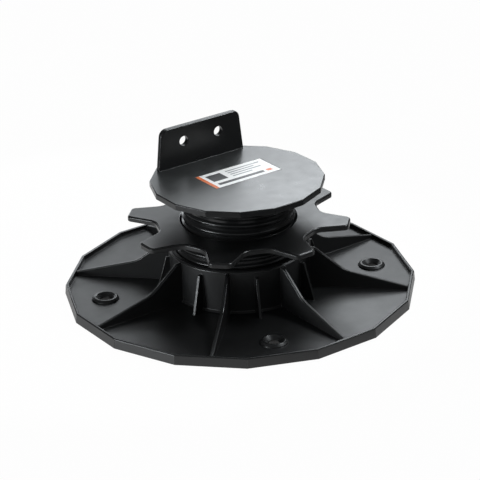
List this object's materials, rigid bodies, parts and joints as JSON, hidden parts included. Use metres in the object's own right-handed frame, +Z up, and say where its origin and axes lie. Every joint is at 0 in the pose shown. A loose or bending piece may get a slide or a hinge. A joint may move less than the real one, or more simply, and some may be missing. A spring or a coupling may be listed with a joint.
{
  "type": "adjustable deck pedestal",
  "caption": "Screw-jack pedestal for a raised deck: a wide ribbed base, a threaded lug ring and a flat head with an upright wall that a joist is screwed to.",
  "frame": {"origin": "middle of the base's underside, on the screw axis", "axes": "+Z up along the screw axis; the head's upstand is on the +Y side with its length along X"},
  "size_m": [0.1962, 0.1962, 0.0913],
  "materials": {
    "moulded_plastic": "satin moulded",
    "label_film": "printed film"
  },
  "bodies": {
    "base": {"base": "moulded_plastic"},
    "adjuster": {"adjuster": "moulded_plastic"},
    "head": {"head": "moulded_plastic", "label": "label_film"}
  },
  "joints": [
    {"name": "adjuster_lift", "type": "slide", "parent": "base", "child": "adjuster", "axis": [0, 0, 1], "range_m": [-0.0123, 0.0017]},
    {"name": "head_lift", "type": "slide", "parent": "adjuster", "child": "head", "axis": [0, 0, 1], "range_m": [-0.0202, 0.0008]}
  ]
}
